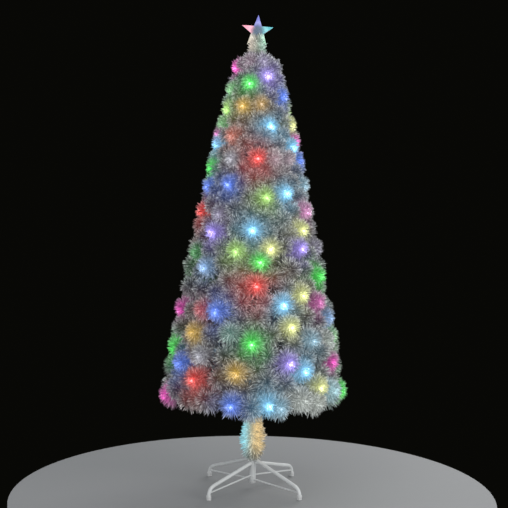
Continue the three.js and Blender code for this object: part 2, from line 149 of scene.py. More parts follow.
# Folding stand and trunk, as the frame has them
HUB_R = 12.5
HUB_BORE_R = 8.3
INNER_TUBE_R = 9.5
FOOT_R = 233
KNEE = (200, 49)
LEG_BEND = 36
LEG_R = 6.75
BRACE_R = 3
LEGS = {
    "rear_right": (45, 95, 48, "turning_legs"),
    "rear_left": (135, 111, 33, "stand"),
    "front_left": (225, 95, 48, "turning_legs"),
    "front_right": (315, 111, 33, "stand"),
}
POLE_R = 11
SPIGOT_R = 8
POLE_BORE_R = 6
SECTION_JOINT_Z = 860
SPIGOT_LENGTH = 70
TRUNK_TOP = 1652
STAR_Z = 1737
STAR_R = 62.6
STAR_NOTCH = 0.4
STAR_THICK = 11
STAR_TILT = radians(-3)

# Each lamp's colour, and how far its light spreads, measured in the common distance
LAMP_COLOURS = {
    "red": (0.78, 0.07, 0.06, 1.25), "scarlet": (0.78, 0.07, 0.06, 1.75),
    "crimson": (0.5, 0.07, 0.08, 1), "brick": (0.55, 0.17, 0.12, 1.2),
    "orange": (0.67, 0.43, 0.08, 1), "amber": (0.5, 0.31, 0.09, 1),
    "yellow": (0.82, 0.86, 0.36, 1), "lime": (0.44, 0.74, 0.2, 1.15),
    "green": (0.1, 0.85, 0.13, 1.12), "moss": (0.1, 0.5, 0.13, 0.6),
    "mint": (0.25, 0.6, 0.25, 1), "teal": (0.14, 0.3, 0.25, 1),
    "cyan": (0.3, 0.7, 1.0, 1.28), "aqua": (0.42, 0.66, 0.72, 1.25),
    "ice": (0.3, 0.5, 0.62, 1), "sky": (0.3, 0.5, 0.82, 0.85),
    "blue": (0.13, 0.25, 0.82, 1.15), "indigo": (0.13, 0.25, 0.82, 1.45),
    "violet": (0.44, 0.34, 0.95, 1), "lavender": (0.44, 0.34, 0.9, 1.5),
    "lilac": (0.33, 0.29, 0.44, 0.75), "mauve": (0.3, 0.2, 0.27, 1),
    "pink": (0.95, 0.12, 0.62, 0.8), "rose": (0.75, 0.34, 0.62, 1),
    "plum": (0.62, 0.13, 0.44, 1), "blush": (0.42, 0.31, 0.36, 1),
    "white": (0.43, 0.43, 0.5, 0.7), "frost": (0.46, 0.52, 0.48, 1),
    "snow": (0.46, 0.5, 0.47, 1.4),
}


# Nodes

def pick(sockets, key):
    """The socket of that number, or the one in use of that name."""
    if isinstance(key, int):
        return sockets[key]
    return next(socket for socket in sockets if socket.name == key and socket.enabled)


def overloaded(operation):
    """The methods of an arithmetic operator, as written and reflected."""
    return (
        lambda value, other: value.nodes.maths(operation, value, other),
        lambda value, other: value.nodes.maths(operation, other, value))


class Value:
    """One output of a node, so that maths on it can be written as arithmetic."""

    __add__, __radd__ = overloaded("ADD")
    __sub__, __rsub__ = overloaded("SUBTRACT")
    __mul__, __rmul__ = overloaded("MULTIPLY")
    __pow__, __rpow__ = overloaded("POWER")

    def __init__(self, nodes, socket):
        self.nodes = nodes
        self.socket = socket

    def beside(self, name):
        """Another output of the same node."""
        return Value(self.nodes, pick(self.socket.node.outputs, name))


class Nodes:
    """A node tree to which nodes are added."""

    def __init__(self, tree):
        self.tree = tree

    def node(self, kind, sockets=None, out=0, **settings):
        """A new node's output: settings are set first, then sockets get values or links."""
        made = self.tree.nodes.new(kind)
        for name, value in settings.items():
            if name == "stops":
                ramp = made.color_ramp
                while len(ramp.elements) < len(value):
                    ramp.elements.new(0.5)
                for element, (place, colour) in zip(ramp.elements, value):
                    element.position = place
                    element.color = (*colour, 1)
            else:
                setattr(made, name, value)
        for key, value in (sockets or {}).items():
            self.put(pick(made.inputs, key), value)
        return Value(self, pick(made.outputs, out))

    def put(self, socket, value):
        if isinstance(value, Value):
            self.tree.links.new(value.socket, socket)
        else:
            socket.default_value = value

    def maths(self, operation, first, second=0.0, **settings):
        return self.node("ShaderNodeMath", {0: first, 1: second}, operation=operation, **settings)

    def end(self, kind, value):
        self.put(self.tree.nodes.new(kind).inputs[0], value)


class Finish(Nodes):
    """A material made of one Principled shader and the nodes that feed it."""

    def __init__(self, name, **constants):
        self.material = bpy.data.materials.new(name)
        self.material.use_nodes = True
        super().__init__(self.material.node_tree)
        self.shader = self.tree.nodes["Principled BSDF"]
        for socket, value in constants.items():
            self.shader.inputs[socket.replace("_", " ")].default_value = value

    def mix(self, factor, first, second, blend="MIX", clamped=False):
        colours = [c if isinstance(c, Value) else (*c, 1) for c in (first, second)]
        return self.node(
            "ShaderNodeMix", {0: factor, 6: colours[0], 7: colours[1]}, out=2, data_type="RGBA",
            blend_type=blend, clamp_factor=clamped)

    def noise(self, scale, detail=3):
        place = self.node("ShaderNodeTexCoord", out="Object")
        return self.node("ShaderNodeTexNoise", {"Vector": place, "Scale": scale, "Detail": detail})

    def attribute(self, name, out=0):
        return self.node("ShaderNodeAttribute", out=out, attribute_name=name)

    def brightness(self, colour):
        return self.node("ShaderNodeSeparateColor", {0: colour}, out=2, mode="HSV")

    def bump(self, height, strength, distance):
        self.feed("Normal", self.node(
            "ShaderNodeBump", {"Strength": strength, "Distance": distance, "Height": height}))

    def feed(self, socket, value):
        self.put(self.shader.inputs[socket], value)


class Recipe(Nodes):
    """A geometry node tree with named inputs."""

    def __init__(self, name):
        super().__init__(bpy.data.node_groups.new(name, "GeometryNodeTree"))
        self.tree.is_modifier = True
        self.inputs = self.tree.nodes.new("NodeGroupInput")
        for way in ("INPUT", "OUTPUT"):
            self.tree.interface.new_socket(
                "Geometry", in_out=way, socket_type="NodeSocketGeometry")

    def given(self, name):
        return Value(self, self.inputs.outputs[name])

    def named(self, name, kind, value=None):
        socket = self.tree.interface.new_socket(
            name, in_out="INPUT", socket_type=f"NodeSocket{kind}")
        if value is not None:
            socket.default_value = value
        return self.given(name)

    def attribute(self, name, kind="FLOAT"):
        return self.node(
            "GeometryNodeInputNamedAttribute", {"Name": name}, "Attribute", data_type=kind)

    def stored(self, geometry, name, value, kind="FLOAT"):
        return self.node(
            "GeometryNodeStoreNamedAttribute",
            {"Geometry": geometry, "Name": name, "Value": value}, data_type=kind, domain="POINT")

    def chance(self, low, high, seed, kind="FLOAT"):
        return self.node(
            "FunctionNodeRandomValue", {"Min": low, "Max": high, "Seed": seed}, "Value",
            data_type=kind)

    def multiplied(self, geometry, amount):
        return self.node(
            "GeometryNodeDuplicateElements", {"Geometry": geometry, "Amount": amount},
            domain="POINT")

    def turned(self, rotation, axis, angle):
        turn = self.node("ShaderNodeCombineXYZ", {axis: angle})
        return self.node(
            "FunctionNodeRotateRotation", {"Rotation": rotation, "Rotate By": turn},
            rotation_space="LOCAL")

    def join(self, parts):
        made = self.node("GeometryNodeJoinGeometry")
        for part in parts:
            self.put(made.socket.node.inputs[0], part)
        return made

    def real(self, geometry):
        return self.node("GeometryNodeRealizeInstances", {"Geometry": geometry})

    def finish(self, geometry, material):
        self.end("NodeGroupOutput", self.node(
            "GeometryNodeSetMaterial", {"Geometry": geometry, "Material": material}))


# Mesh helpers

def bearing_point(bearing, radius, z):
    angle = radians(bearing)
    return Vector((sin(angle) * radius, -cos(angle) * radius, z))


def new_object(name, data):
    made = bpy.data.objects.new(name, data)
    bpy.context.scene.collection.objects.link(made)
    return made


def new_piece(name, mesh, material, smooth=True, sharp=None):
    """An object of a mesh, whose edges above an angle in degrees may stay sharp."""
    piece = new_object(name, mesh)
    mesh.materials.clear()
    mesh.materials.append(material)
    if smooth:
        mesh.shade_smooth()
    if sharp:
        mesh.set_sharp_from_angle(angle=radians(sharp))
    return piece


def fix(piece, body, node):
    """Puts a piece on its body, in the place of the frame's node."""
    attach(piece, body)
    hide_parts(node)


def fitted(node, ending, mesh, material, body, sharp=None, turn=None):
    """Makes a mesh the piece that takes the place of a node, turned about the trunk."""
    piece = new_piece(node + ending, mesh, material, sharp=sharp)
    if turn:
        mesh.transform(Matrix.Rotation(radians(turn), 4, "Z"))
    fix(piece, body, node)


def store(attributes, name, kind, field, values):
    attributes.new(name, kind, "POINT").data.foreach_set(field, values)


def mesh_from(vertices, faces, cuts=0):
    """A mesh in metres from corners in millimetres, closed, and cut finer where that is asked."""
    mesh = bpy.data.meshes.new("piece")
    mesh.from_pydata([tuple(vertex * MM) for vertex in vertices], [], faces)
    work = bmesh.new()
    work.from_mesh(mesh)
    bmesh.ops.remove_doubles(work, verts=work.verts, dist=1e-6)
    bmesh.ops.recalc_face_normals(work, faces=work.faces)
    if cuts:
        bmesh.ops.subdivide_edges(work, edges=work.edges, cuts=cuts, use_grid_fill=True)
        bmesh.ops.triangulate(work, faces=[face for face in work.faces if len(face.verts) > 4])
    work.to_mesh(mesh)
    work.free()
    return mesh


def skin(rings):
    """The faces between neighbouring rings of corners."""
    faces = []
    for low, high in zip(rings, rings[1:]):
        for i in range(len(low)):
            j = (i + 1) % len(low)
            face = list(dict.fromkeys([low[i], low[j], high[j], high[i]]))
            if len(face) > 2:
                faces.append(face)
    return faces


def lathe(pairs, sides=48, centre=0):
    """A turned mesh from (radius, height) pairs, closed at the axis."""
    rings, vertices = [], []
    for radius, z in pairs:
        count = sides if radius else 1
        rings.append([len(vertices) + i % count for i in range(sides)])
        for i in range(count):
            angle = tau * i / sides
            vertices.append(Vector((
                centre + cos(angle) * radius, sin(angle) * radius, z)))
    return mesh_from(vertices, skin(rings))


def tube(points, radii, sides):
    """A round tube along points, with closed flat ends."""
    vertices = []
    side = None
    for i, point in enumerate(points):
        ahead = (points[min(i + 1, len(points) - 1)] - points[max(i - 1, 0)]).normalized()
        if side is None:
            side = ahead.orthogonal().normalized()
        side = (side - ahead * side.dot(ahead)).normalized()
        up = ahead.cross(side)
        for k in range(sides):
            angle = tau * k / sides
            offset = side * cos(angle) + up * sin(angle)
            vertices.append(point + offset * radii[i])
    rings = [[i * sides + k for k in range(sides)] for i in range(len(points))]
    return mesh_from(vertices, [*skin(rings), rings[0], rings[-1]])


# Brushes of needles, and lamps, in Geometry Nodes

def spindle(recipe, width, widest=0.86):
    """One needle of unit length, pointed at both ends, with its share of the way on its points."""
    lower, upper = (
        recipe.node(
            "GeometryNodeMeshCone",
            {"Vertices": 3, "Radius Top": top, "Radius Bottom": bottom, "Depth": depth},
            fill_type="NONE")
        for top, bottom, depth in ((width, 0.0, widest), (0.0, width, 1 - widest)))
    raised = recipe.node(
        "GeometryNodeTransform", {"Geometry": upper, "Translation": (0, 0, widest)})
    whole = recipe.node(
        "GeometryNodeMergeByDistance",
        {"Geometry": recipe.join([lower, raised]), "Distance": 0.00002})
    height = recipe.node(
        "ShaderNodeSeparateXYZ", {"Vector": recipe.node("GeometryNodeInputPosition")}, "Z")
    return recipe.stored(whole, "share", height)


def brush_recipe():
    """Needles round every edge line: reach, lean, spread and count come from its points."""
    recipe = Recipe("Needle brush")
    spacing = recipe.named("Spacing", "Float", 0.005)
    width = recipe.named("Needle width", "Float", 0.0011)
    wire = recipe.named("Wire radius", "Float", 0.0016)
    seed = recipe.named("Seed", "Int", 1)
    material = recipe.named("Material", "Material")
    strands = recipe.node("GeometryNodeMeshToCurve", {"Mesh": recipe.given("Geometry")})
    stepped = recipe.node(
        "GeometryNodeResampleCurve", {"Curve": strands, "Length": spacing}, mode="LENGTH")
    dotted = recipe.node("GeometryNodeCurveToPoints", {"Curve": stepped}, mode="EVALUATED")
    many = recipe.multiplied(dotted, recipe.attribute("count"))
    toned = recipe.stored(many, "tone", recipe.chance(0.0, 1.0, seed))
    even = recipe.maths("SQRT", recipe.chance(0.0, 1.0, seed + 2))
    lean = recipe.attribute("lean") + (even * 2 - 1) * recipe.attribute("spread")
    spun = recipe.turned(
        dotted.beside("Rotation"), "Z", recipe.chance(0.0, tau, seed + 1))
    length = recipe.attribute("reach") * recipe.chance(0.5, 1.0, seed + 3)
    size = recipe.node("ShaderNodeCombineXYZ", {"X": 1.0, "Y": 1.0, "Z": length})
    needles = recipe.node(
        "GeometryNodeInstanceOnPoints",
        {"Points": toned, "Instance": spindle(recipe, width),
         "Rotation": recipe.turned(spun, "X", lean), "Scale": size})
    ring = recipe.node("GeometryNodeCurvePrimitiveCircle", {"Resolution": 6, "Radius": wire})
    core = recipe.node(
        "GeometryNodeCurveToMesh",
        {"Curve": strands, "Profile Curve": ring, "Fill Caps": True})
    real = recipe.real(recipe.join([needles, core]))
    offset = recipe.node(
        "ShaderNodeVectorMath",
        {0: recipe.node("GeometryNodeInputPosition"),
         1: recipe.attribute("lamp_place", "FLOAT_VECTOR")}, operation="SUBTRACT")
    recipe.finish(recipe.stored(real, "lamp_offset", offset, "FLOAT_VECTOR"), material)


def bead_recipe():
    """A lamp on every point, and the lit fibre ends that are scattered round it."""
    recipe = Recipe("Lamp and fibre ends")
    lamp = recipe.named("Lamp radius", "Float", 0.005)
    bead = recipe.named("Bead radius", "Float", 0.0014)
    scatter = recipe.named("Scatter", "Float", 0.013)
    count = recipe.named("Beads", "Int", 16)
    seed = recipe.named("Seed", "Int", 1)
    material = recipe.named("Material", "Material")
    points = recipe.node("GeometryNodeMeshToPoints", {"Mesh": recipe.given("Geometry")})
    shift = recipe.node(
        "ShaderNodeVectorMath",
        {"Vector": recipe.chance((-1, -1, -1), (1, 1, 1), seed, "FLOAT_VECTOR"),
         "Scale": scatter}, operation="SCALE")
    moved = recipe.node(
        "GeometryNodeSetPosition",
        {"Geometry": recipe.multiplied(points, count), "Offset": shift})
    balls = []
    for place, radius, fineness in ((points, lamp, 2), (moved, bead, 1)):
        ball = recipe.node(
            "GeometryNodeMeshIcoSphere", {"Radius": radius, "Subdivisions": fineness})
        balls.append(recipe.node(
            "GeometryNodeInstanceOnPoints", {"Points": place, "Instance": ball}))
    recipe.finish(recipe.real(recipe.join(balls)), material)


def made_by(recipe, name, mesh, material, seed, **sizes):
    """The piece that a recipe makes of a mesh of lines or points, as a plain mesh."""
    holder = new_object(name + " lines", mesh)
    maker = holder.modifiers.new("Recipe", "NODES")
    maker.node_group = bpy.data.node_groups[recipe]
    material = bpy.data.materials[material]
    values = {key.replace("_", " ").capitalize(): size for key, size in sizes.items()}
    values.update({"Seed": seed, "Material": material})
    for item in maker.node_group.interface.items_tree:
        if item.in_out == "INPUT" and item.name in values:
            maker[item.identifier] = values[item.name]
    made = bpy.data.meshes.new_from_object(
        holder.evaluated_get(bpy.context.evaluated_depsgraph_get()))
    made.name = name
    holder.modifiers.remove(maker)
    bpy.data.objects.remove(holder)
    bpy.data.meshes.remove(mesh)
    return new_piece(name, made, material, smooth=False)


def brushed(name, lines, seed, lamps, **sizes):
    """Needles round lines, lit by lamps. A line has its own lamp's place, or None, and rows of
    (point in mm, reach, lean, spread, count)."""
    vertices, edges, rows, places = [], [], [], []
    for own_lamp, line in lines:
        for i, (point, *row) in enumerate(line):
            if i:
                edges.append((len(vertices) - 1, len(vertices)))
            vertices.append(tuple(point * MM))
            rows.append(row)
            places += tuple(own_lamp * MM) if own_lamp else NO_LAMP
    mesh = bpy.data.meshes.new(name + " lines")
    mesh.from_pydata(vertices, edges, [])
    for column, label in enumerate(("reach", "lean", "spread", "count")):
        store(mesh.attributes, label, "FLOAT", "value", [row[column] for row in rows])
    store(mesh.attributes, "lamp_place", "FLOAT_VECTOR", "vector", places)
    piece = made_by("Needle brush", name, mesh, "Silver needles", seed, **sizes)
    paint_lamplight(piece.data, lamps)
    pack_for_bake(piece.data)
    return piece


def lamps_at(name, lamps, seed):
    """Lamps and fibre ends at (place, colour's name), each coloured like its lamp."""
    mesh = bpy.data.meshes.new(name + " points")
    mesh.from_pydata([tuple(place) for place, _ in lamps], [], [])
    store(mesh.attributes, "lamp_glow", "FLOAT_COLOR", "color", [
        part for _, colour in lamps for part in (*LAMP_COLOURS[colour][:3], 1)])
    piece = made_by("Lamp and fibre ends", name, mesh, "Lamps", seed)
    pack_for_bake(piece.data)
    return piece


def pack_for_bake(mesh, cell_reach=0.42, cell_turn=0.4):
    """Gives each face its own small cell of a UV map, in rows."""
    layer = mesh.uv_layers.new(name="OFBake")
    count = len(mesh.polygons)
    side = ceil(sqrt(count))
    starts = np.empty(count, np.int32)
    totals = np.empty(count, np.int32)
    mesh.polygons.foreach_get("loop_start", starts)
    mesh.polygons.foreach_get("loop_total", totals)
    face = np.repeat(np.arange(count), totals)
    corner = np.arange(len(mesh.loops)) - np.repeat(starts, totals)
    angle = tau * corner / np.repeat(totals, totals) + cell_turn
    u = (face % side + 0.5 + cell_reach * np.cos(angle)) / side
    v = (face // side + 0.5 + cell_reach * np.sin(angle)) / side
    layer.data.foreach_set("uv", np.stack([u, v], 1).astype(np.float32).ravel())


def vectors(data, field):
    found = np.empty(len(data) * 3, np.float32)
    data.foreach_get(field, found)
    return found.reshape(-1, 3)


def paint_lamplight(mesh, lamps):
    """Stores on each point the light that reaches it: much from its own brush's lamp, and less
    from others. Its colour is mostly that of the strongest."""
    places = vectors(mesh.vertices, "co")
    own_lamp = places - vectors(mesh.attributes["lamp_offset"].data, "vector")
    total = np.full((len(places), 1), 1e-9, np.float32)
    strongest = np.zeros((len(places), 1), np.float32)
    hue = np.zeros((len(places), 3), np.float32)
    low, high = places.min(0) - LIGHT_END, places.max(0) + LIGHT_END
    for centre, colour, radius in lamps:
        centre = np.array(centre, np.float32)
        if (centre < low).any() or (centre > high).any():
            continue
        is_own = np.linalg.norm(own_lamp - centre, axis=1) < MM
        distance = np.linalg.norm(places - centre, axis=1) / radius
        light = np.where(is_own, OWN_LIGHT, OTHER_LIGHT) * np.exp(-distance ** 2)
        light += FAR_LIGHT * np.exp(-(distance / FAR_SPREAD) ** 2)
        light = light[:, None].astype(np.float32)
        total += light ** 3
        hue += light ** 3 * np.array(colour, np.float32)
        strongest = np.maximum(strongest, light)
    # Painted light: the lamplight is kept as a colour on the mesh, which tints the needles' colour
    # and makes them glow
    colours = np.ones((len(places), 4), np.float32)
    colours[:, :3] = hue / total * strongest
    store(mesh.color_attributes, "lamp_glow", "FLOAT_COLOR", "color", colours.ravel())


# Branches

def foliage_radius(z):
    share = min(max((z - FOLIAGE_LOW) / BELLY_HEIGHT, 0), 1)
    return FOLIAGE_R - FOLIAGE_TAPER * (z - FOLIAGE_LOW) + BELLY * sin(pi * share)


def ball_radius(z):
    share = min(max((z - FOLIAGE_LOW) / (FOLIAGE_TOP - FOLIAGE_LOW), 0), 1)
    return BALL_R_LOW - (BALL_R_LOW - BALL_R_TOP) * share


def half_turned(point):
    return Vector((-point.x, -point.y, point.z))


def bare_places(low, high, start, stop, taken, rise=12.0, turn=4.0, depth=0.95):
    """Places on the foliage's surface in one branch's field that no brush end covers yet."""
    field = [
        bearing_point(bearing, foliage_radius(z) * depth, z)
        for z in np.arange(low, high, rise) for bearing in np.arange(start, stop, turn)]
    found = []
    while field:
        clear = [min((place - other).length for other in taken + found) for place in field]
        widest = max(clear)
        place = field[clear.index(widest)]
        if widest < BARE_AT * ball_radius(place.z):
            break
        found.append(place)
    return found


def twigs():
    """Every branch as (name, twigs). A twig is (from, to, brush radius, colour, is a filler)."""
    tips = [
        bearing_point(bearing, foliage_radius(z), z) for _, _, branches in WHORLS.values()
        for _, entries in branches for bearing, z, _ in entries]
    tips += [half_turned(tip) for tip in tips]
    found = []
    # How far a branch's fillers stay from its root and from its field's four edges
    above_root, above_edge, below_edge, after_start, before_stop = 16, 12, 8, 3, 2
    root_z, lowest = LOWEST_ROOT, LOWEST_ROOT + above_root
    for whorl, (top, slope, branches) in WHORLS.items():
        highest = top - (below_edge if top < FOLIAGE_TOP else BALL_R_TOP)
        for i, (start, entries) in enumerate(branches):
            stop = branches[i + 1][0] if i + 1 < len(branches) else branches[0][0] + 180
            root = bearing_point((start + stop) / 2, ROOT_R, root_z)
            ends = [(bearing_point(b, foliage_radius(z), z), colour) for b, z, colour in entries]
            middle = sum((end for end, _ in ends), Vector()) / len(ends)
            ends.sort(key=lambda entry: (entry[0] - middle).length)
            stem = ends[0][0]
            made = [(root, stem, ball_radius(stem.z), ends[0][1], False)]
            for k, (end, colour) in enumerate(ends[:0:-1]):
                share = FIRST_FORK + (LAST_FORK - FIRST_FORK) * k / (len(ends) - 1)
                made.append((root.lerp(stem, share), end, ball_radius(end.z), colour, False))
            for place in bare_places(
                    lowest, highest, start + after_start, stop - before_stop, tips):
                tips += [place, half_turned(place)]
                made.append((
                    root.lerp(stem, FILLER_FORK), place, ball_radius(place.z) * FILLER_SIZE, None,
                    True))
            found.append((f"{whorl}{i + 1}", made))
        root_z = top - foliage_radius(top) * tan(radians(slope)) + ROOT_ABOVE_EDGE
        lowest = top + above_edge
    return found


def inside(end, depth):
    """The place at a depth behind a brush's end, straight towards the trunk."""
    share = 1 - depth / hypot(end.x, end.y)
    return Vector((end.x * share, end.y * share, end.z))


def lamp_place(twig, behind, edge=0.96):
    """Where a twig's lamp is, or None. One just behind the tree's edge stays dark."""
    _, end, radius, colour, _ = twig
    seen_from_front = (end.y < 0) != behind
    at_edge = abs(end.x) > edge * hypot(end.x, end.y)
    if not colour or (at_edge and not seen_from_front):
        return None
    place = inside(end, LAMP_DEPTH * radius)
    return half_turned(place) if behind else place


def brush_lines(sizes, twig, behind, upturn=0.25):
    """The lines of one twig's needles: its bare wire, its length, and its round end."""
    start, end, radius, _, is_filler = twig
    bare, row_fill, burst_fill = (0.3, 0.6, 0.62) if is_filler else (0.12, 1, 1)
    heart = inside(end, HEART_DEPTH * radius) + Vector((0, 0, HEART_RISE * radius))
    outwards = (end - heart).normalized() + Vector((0, 0, upturn))
    reach = radius * MM / sin(sizes.lean)
    count = sizes.needles_per_step * row_fill
    rows = [
        (start.lerp(heart, share), reach * grown, sizes.lean, sizes.spread, count * full)
        for share, grown, full in ((bare, *FIRST_ROW), *TWIG_ROWS)]
    burst = [
        (heart + outwards * (ahead * radius), grown * radius * MM, radians(leaning),
         radians(straying), sizes.burst_needles * burst_fill * full)
        for ahead, grown, leaning, straying, full in BURSTS]
    wire = [(point, 0.0, 0.0, 0.0, 0.0) for point in (start, rows[0][0])]
    lines = [wire, rows, burst]
    if behind:
        lines = [[(half_turned(point), *row) for point, *row in line] for line in lines]
    return [(lamp_place(twig, behind), line) for line in lines]


def needle_finish(sizes, colours):
    finish = Finish("Silver needles", Coat_Weight=0.2, Coat_Roughness=0.2,
                    Emission_Strength=sizes.glow_strength)
    tone = finish.attribute("tone", out=2)
    # Painted light: lamp_glow holds the lamplight painted on each needle point, so the needles glow
    # though they are no lamps
    glow = finish.attribute("lamp_glow")
    # Painted shade: each needle is darkened to the shade colour at its root, for the shade deep in
    # the foliage, then turns the needles' grey and pales at its clear fibre end
    along = finish.node(
        "ShaderNodeValToRGB", {"Fac": finish.attribute("share", out=2)},
        stops=[(0.0, colours.shade), (0.3, colours.shade), (0.7, colours.needle),
               (0.95, colours.fibre)])
    # Each needle's random tone: partly real variation from needle to needle, and partly painted
    # glints, as the brightest needles are made up to 1.4 times as bright as their colour
    tone_and_glint_greys = ((0.0, 0.2), (0.4, 0.45), (0.7, 0.9), (0.88, 1.4))
    tone_and_glints = finish.node(
        "ShaderNodeValToRGB", {"Fac": tone}, stops=[(place, (grey,) * 3) for place, grey in tone_and_glint_greys])
    toned = finish.mix(1.0, along, tone_and_glints, "MULTIPLY")
    lit = finish.brightness(glow)
    # Painted light: the base colour is tinted towards the painted lamplight
    finish.feed("Base Color", finish.mix(lit * 1.7, toned, glow, clamped=True))
    finish.feed("Roughness", 0.3 + tone * 0.3)
    # Painted light: a bright core of lamplight is painted into the glow round each lamp
    distance = finish.node(
        "ShaderNodeVectorMath", {0: finish.attribute("lamp_offset", out=1)}, out=1,
        operation="LENGTH")
    near = 0.5 ** ((distance * (1 / sizes.core_radius)) ** 2)
    core = near * (lit * 2.2) ** 2
    finish.feed("Emission Color", finish.mix(
        1.0, glow, (1 + core * 5.5) * (0.5 + tone * 0.95), "MULTIPLY"))


def lamp_finish(strength):
    finish = Finish("Lamps", Roughness=0.2, Emission_Strength=strength)
    glow = finish.attribute("lamp_glow")
    finish.feed("Base Color", finish.mix(0.4, (0.8, 0.8, 0.8), glow))
    lit = finish.brightness(glow)
    pale = finish.mix(0.25, glow, (1, 1, 1))
    finish.feed("Emission Color", finish.mix(1.0, pale, lit * lit, "MULTIPLY"))


def colour_property(name, description, *default):
    return FloatVectorProperty(
        name=name, description=description, subtype="COLOR", default=default, min=0, max=1)


class TreeColours(bpy.types.PropertyGroup):
    needle: colour_property("Needles", "Main colour of the needles", 0.37, 0.375, 0.365)
    # Painted shade: the colour that the needles' roots are darkened to, for the shade deep in the
    # foliage
    shade: colour_property("Painted root shade", "Painted shade at the needles' roots", 0.17, 0.175, 0.17)
    fibre: colour_property("Fibres", "Clear fibres and needle ends", 0.82, 0.83, 0.81)
    paint: colour_property("Stand paint", "Paint of the stand and trunk", 0.72, 0.73, 0.72)
    cap: colour_property("Caps", "Plastic of the foot caps and end cap", 0.66, 0.66, 0.65)
    floor: colour_property("Floor", "Colour of the plain floor", 0.32, 0.32, 0.32)


class TreeBrushSizes(bpy.types.PropertyGroup):
    spacing: FloatProperty(
        name="Step", description="Distance between rows of needles on a twig",
        default=0.006, min=0.001, unit="LENGTH")
    needle_width: FloatProperty(
        name="Needle radius", description="Radius of a needle at its widest",
        default=0.0012, min=0.0002, unit="LENGTH")
    needles_per_step: IntProperty(
        name="Needles in a row", description="Needles in each row round a twig", default=8, min=1)
    burst_needles: IntProperty(
        name="End needles", description="Needles in the round end of a brush", default=590, min=1)
    lean: FloatProperty(
        name="Lean", description="Angle between a needle and its twig",
        default=radians(58), min=radians(5), max=radians(90), subtype="ANGLE")
    spread: FloatProperty(
        name="Spread", description="How far a needle's angle strays",
        default=radians(16), min=0, max=radians(60), subtype="ANGLE")
    glow_radius: FloatProperty(
        name="Glow radius", description="How far a lamp lights the needles round it",
        default=0.047, min=0.01, unit="LENGTH")
    glow_strength: FloatProperty(
        name="Glow strength", description="Emission of the needles at a lamp", default=0.9, min=0)
    core_radius: FloatProperty(
        name="Core radius", description="Distance from a lamp at which its light is halved",
        default=0.01, min=0.001, unit="LENGTH")
    lamp_strength: FloatProperty(
        name="Lamp strength", description="Emission of a lamp and its fibres", default=2.5, min=0)


class LIGHTTREE_OT_branches(bpy.types.Operator):
    """Makes the needle brushes and lamps of all branches"""

    bl_idname = "lighttree.branches"
    bl_label = "Branches"

    def execute(self, context):
        sizes = context.scene.tree_brushes
        brush_recipe()
        bead_recipe()
        needle_finish(sizes, context.scene.tree_colours)
        lamp_finish(sizes.lamp_strength)
        sides = (("front", False), ("back", True))
        branches = [
            (f"{side}_{name}", behind, 20 * number + 10 * behind, found)
            for number, (name, found) in enumerate(twigs()) for side, behind in sides]
        lamps = {
            name: [(lamp_place(twig, behind) * MM, twig[3])
                   for twig in found if lamp_place(twig, behind)]
            for name, behind, _, found in branches}
        # The lamps whose light is painted on the needles: place, colour and spread
        glows = [
            (place, LAMP_COLOURS[colour][:3], sizes.glow_radius * LAMP_COLOURS[colour][3])
            for group in lamps.values() for place, colour in group]
        for name, behind, seed, found in branches:
            lines = [line for twig in found for line in brush_lines(sizes, twig, behind)]
            piece = brushed(f"needles_{name}", lines, seed, glows, spacing=sizes.spacing,
                            needle_width=sizes.needle_width)
            fix(piece, name, f"branch_{name}")
            if lamps[name]:
                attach(lamps_at(f"lamps_{name}", lamps[name], seed), name)
        return {"FINISHED"}


class LIGHTTREE_OT_wraps(bpy.types.Operator):
    """Makes the bristled wrap under the foliage and the tuft under the star"""

    bl_idname = "lighttree.wraps"
    bl_label = "Wraps"

    def execute(self, context):
        width = context.scene.tree_brushes.needle_width * 1.4
        # Painted light: cyan and orange lamplight painted on the wrap's needles, as (x, y, z,
        # colour, spread)
        lights = [
            (x, y, z, colour, 0.036) for x, y, colour in (
                (-36, -16, (0.78, 1.7, 1.95)), (12, -26, (2.0, 1.5, 0.75)))
            for z in (178, 204, 230)]
        self.wrap("trunk_wrap", "lower_section", (122, 322), self.barrel,
                  lambda share: -52 + 60 * min(share * 2.4, 1), 52, lights, width)
        # Painted light: warm and greenish lamplight painted on the tuft's needles under the star
        lights = [
            (-22, -12, 1688, (1.6, 1.4, 1.2), 0.034), (20, -12, 1688, (0.8, 1.3, 1.05), 0.034)]
        self.wrap("crown_wrap", "star", (1655, 1690), lambda share: 42 + 3 * share,
                  lambda share: -20 + 86 * share, 56, lights, width)
        return {"FINISHED"}

    def barrel(self, share):
        """How far needles reach at a share of the wrap's height, from its foot, in mm."""
        foot = min(0.5 + 4 * share, 1)
        return 60 * foot * (0.45 + 0.55 * sin(min(0.15 + 1.2 * share, 0.85) * pi))

    def wrap(self, node, body, heights, reach_at, tilt_at, count, lights, width, steps=8,
             stray=18, spacing=0.0035, core=0.0065):
        """Needles round the trunk between two heights, lit by (x, y, z, colour, spread)."""
        line = []
        for i in range(steps + 1):
            share = i / steps
            line.append((
                Vector((0, 0, heights[0] + (heights[1] - heights[0]) * share)),
                reach_at(share) * MM, radians(90 - tilt_at(share)), radians(stray), count))
        lamps = [(Vector((x, y, z)) * MM, colour, radius) for x, y, z, colour, radius in lights]
        piece = brushed(node + "_needles", [(None, line)], 910, lamps, spacing=spacing,
                        needle_width=width, wire_radius=core)
        fix(piece, body, node)


def clouded(name, colours, scales, roughness, bump, **constants):
    """A finish whose tone and gloss vary a little, with a fine grain."""
    finish = Finish(name, **constants)
    cloud = finish.noise(scales[0])
    finish.feed("Base Color", finish.mix(cloud, *colours))
    finish.feed("Roughness", roughness[0] + cloud * roughness[1])
    finish.bump(finish.noise(scales[1], detail=2), *bump)
    return finish.material


